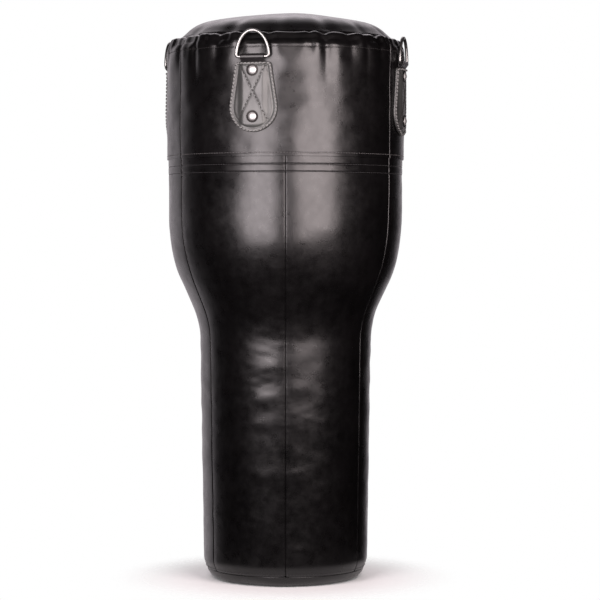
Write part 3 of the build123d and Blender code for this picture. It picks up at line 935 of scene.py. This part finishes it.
def build_loop(side, bearing):
    """Strap folded round the ring's bar, seen in section as (out, up)."""
    lap = SKIN / 2
    wrap = 3.45 * MM + lap
    front, back = TAIL_FRONT - lap, TAIL_BACK + lap
    round_bar = [(BAR_RADIUS + wrap * math.cos(a), BAR_Z + wrap * math.sin(a))
                 for a in np.radians(np.arange(-25.0, 196.0, 17.0))]
    up_the_front = [
        (front, TAIL_BOTTOM_Z), (front, 900 * MM), (front, 956.5 * MM),
        (front + 0.7 * MM, 961.0 * MM), (front + 3.6 * MM, 965.2 * MM)]
    down_the_back = [(back, 962 * MM), (back, 955 * MM), (back, 900 * MM), (back, TAIL_BOTTOM_Z)]
    line = smooth_line(up_the_front + round_bar + down_the_back, 1.1 * MM)
    way = np.gradient(line, axis=0)
    way /= np.linalg.norm(way, axis=1, keepdims=True)
    out = np.stack([way[:, 1], -way[:, 0]], axis=-1)
    edges = [-LOOP_HALF_WIDTH, LOOP_HALF_WIDTH]
    across = graded(*edges, 3.0 * MM, 0.4 * MM, edges, 6 * MM)
    points = []
    for x in across:
        edge = LOOP_HALF_WIDTH - abs(x)
        drop = 0.55 * MM * (1 - min(1.0, edge / (1.1 * MM))) ** 2
        for (r, z), (nr, nz) in zip(line, out):
            points.append((x, -(r + nr * (lap - drop)), z + nz * (lap - drop)))
    faces = grid_faces(len(across), len(line))
    loop = make_mesh(f"{side}_loop", spun(points, bearing), faces, LOOP_LEATHER)
    thicken(loop, SKIN - 0.2 * MM)
    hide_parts(f"{side}_ring_loop")
    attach(loop, BAG)


# ================= studio =================
def aim(obj, target):
    way = Vector(target) - obj.location
    obj.rotation_euler = way.to_track_quat("-Z", "Y").to_euler()


VIEW_BEARING = 14.7
VIEW_DISTANCE = 4.18
VIEW_HEIGHT = 0.645
VIEW_ASIDE = 27.5 * MM
VIEW_PITCH = 1.62
LENS = 132.0
FLOOR_RADIUS = 0.36


def from_camera(lateral, forward, height):
    """Point given as metres right of, and towards the camera from, the bag's axis."""
    a = math.radians(VIEW_BEARING)
    x = forward * math.sin(a) + lateral * math.cos(a)
    y = -forward * math.cos(a) + lateral * math.sin(a)
    return (x, y, height)


def softbox(name, lateral, height, width, tall, power, tint):
    """Soft box a metre in front of the bag, facing its axis."""
    data = bpy.data.lights.new(name, "AREA")
    data.shape = "RECTANGLE"
    data.size = width
    data.size_y = tall
    data.energy = power
    data.color = tint
    light = bpy.data.objects.new(name, data)
    bpy.context.scene.collection.objects.link(light)
    light.location = from_camera(lateral, 1.0, height)
    aim(light, (0, 0, height))
    light.visible_camera = False


def glow(nodes, links, bearing, elevation, narrow, wide, strength):
    """Strength in the world's directions round a bearing and elevation, 0 away from them."""
    a, e = math.radians(bearing), math.radians(elevation)
    toward = nodes.new("ShaderNodeVectorMath")
    toward.operation = "DOT_PRODUCT"
    links.new(nodes.new("ShaderNodeTexCoord").outputs["Generated"], toward.inputs[0])
    toward.inputs[1].default_value = (math.sin(a) * math.cos(e), -math.cos(a) * math.cos(e), math.sin(e))
    edge = nodes.new("ShaderNodeMapRange")
    edge.interpolation_type = "SMOOTHSTEP"
    edge.inputs["From Min"].default_value = math.cos(math.radians(wide))
    edge.inputs["From Max"].default_value = math.cos(math.radians(narrow))
    edge.inputs["To Max"].default_value = strength
    links.new(toward.outputs["Value"], edge.inputs["Value"])
    return edge.outputs["Result"]


def build_studio():
    """Two close soft boxes in front, a pale wall and a glow above behind the bag, near black elsewhere.

    The camera itself sees plain white behind the bag.
    """
    softbox("left_key", -0.42, 0.885, 0.58, 0.99, 16.5, (1.0, 0.90, 0.92))
    softbox("right_key", 0.50, 0.90, 0.70, 0.96, 18.6, (1.0, 0.88, 0.88))

    world = bpy.data.worlds.new("studio")
    bpy.context.scene.world = world
    world.use_nodes = True
    nodes, links = world.node_tree.nodes, world.node_tree.links
    seen = nodes["Background"]
    seen.inputs["Color"].default_value = (1.0, 1.0, 1.0, 1.0)
    seen.inputs["Strength"].default_value = 1.0
    wall = glow(nodes, links, VIEW_BEARING - 162.0, 0.0, 36.0, 54.0, 0.85)
    above = glow(nodes, links, VIEW_BEARING - 180.0, 42.0, 6.0, 28.0, 1.3)
    total = nodes.new("ShaderNodeMath")
    total.inputs[1].default_value = 0.006
    links.new(wall, total.inputs[0])
    both = nodes.new("ShaderNodeMath")
    links.new(total.outputs[0], both.inputs[0])
    links.new(above, both.inputs[1])
    fill = nodes.new("ShaderNodeBackground")
    fill.inputs["Color"].default_value = (1.0, 0.92, 0.97, 1.0)
    links.new(both.outputs[0], fill.inputs["Strength"])
    path = nodes.new("ShaderNodeLightPath")
    mix = nodes.new("ShaderNodeMixShader")
    links.new(path.outputs["Is Camera Ray"], mix.inputs["Fac"])
    links.new(fill.outputs["Background"], mix.inputs[1])
    links.new(seen.outputs["Background"], mix.inputs[2])
    links.new(mix.outputs["Shader"], nodes["World Output"].inputs["Surface"])


def build_floor():
    """Pale disc under the bag that fades out before its edge."""
    material, nodes, links, surface = new_material("studio_floor")
    surface.inputs["Base Color"].default_value = (0.74, 0.74, 0.74, 1.0)
    surface.inputs["Emission Color"].default_value = (1.0, 1.0, 1.0, 1.0)
    surface.inputs["Emission Strength"].default_value = 0.12
    surface.inputs["Roughness"].default_value = 0.9
    clear = nodes.new("ShaderNodeBsdfTransparent")
    mix = nodes.new("ShaderNodeMixShader")
    distance = nodes.new("ShaderNodeVectorMath")
    distance.operation = "LENGTH"
    links.new(place(nodes), distance.inputs[0])
    fade = nodes.new("ShaderNodeMapRange")
    fade.interpolation_type = "SMOOTHSTEP"
    fade.inputs["From Min"].default_value = 0.15
    fade.inputs["From Max"].default_value = 0.34
    links.new(distance.outputs["Value"], fade.inputs["Value"])
    links.new(fade.outputs["Result"], mix.inputs["Fac"])
    links.new(surface.outputs["BSDF"], mix.inputs[1])
    links.new(clear.outputs["BSDF"], mix.inputs[2])
    links.new(mix.outputs["Shader"], nodes["Material Output"].inputs["Surface"])
    turns = np.radians(np.arange(0.0, 360.0, 5.0))
    points = [(FLOOR_RADIUS * math.cos(a), FLOOR_RADIUS * math.sin(a), 0.0) for a in turns]
    floor = make_mesh("floor", points, [tuple(range(len(points)))], material, smooth=False)


def build_camera():
    data = bpy.data.cameras.new("camera")
    data.sensor_width = 36.0
    data.lens = LENS
    camera = bpy.data.objects.new("camera", data)
    bpy.context.scene.collection.objects.link(camera)
    camera.location = from_camera(VIEW_ASIDE, VIEW_DISTANCE, VIEW_HEIGHT)
    camera.rotation_euler = (math.radians(90.0 - VIEW_PITCH), 0.0, math.radians(VIEW_BEARING))
    bpy.context.scene.camera = camera


def main():
    build_lower_skin()
    build_upper_skin()
    build_cover()
    build_base()
    build_body_stitching()
    for side, bearing in SIDES.items():
        build_tab(side, bearing)
        build_tab_stitching(side, bearing)
        build_loop(side, bearing)
    dress_nodes()
    build_floor()
    build_studio()
    build_camera()
    bpy.context.scene.view_settings.view_transform = "Standard"


main()
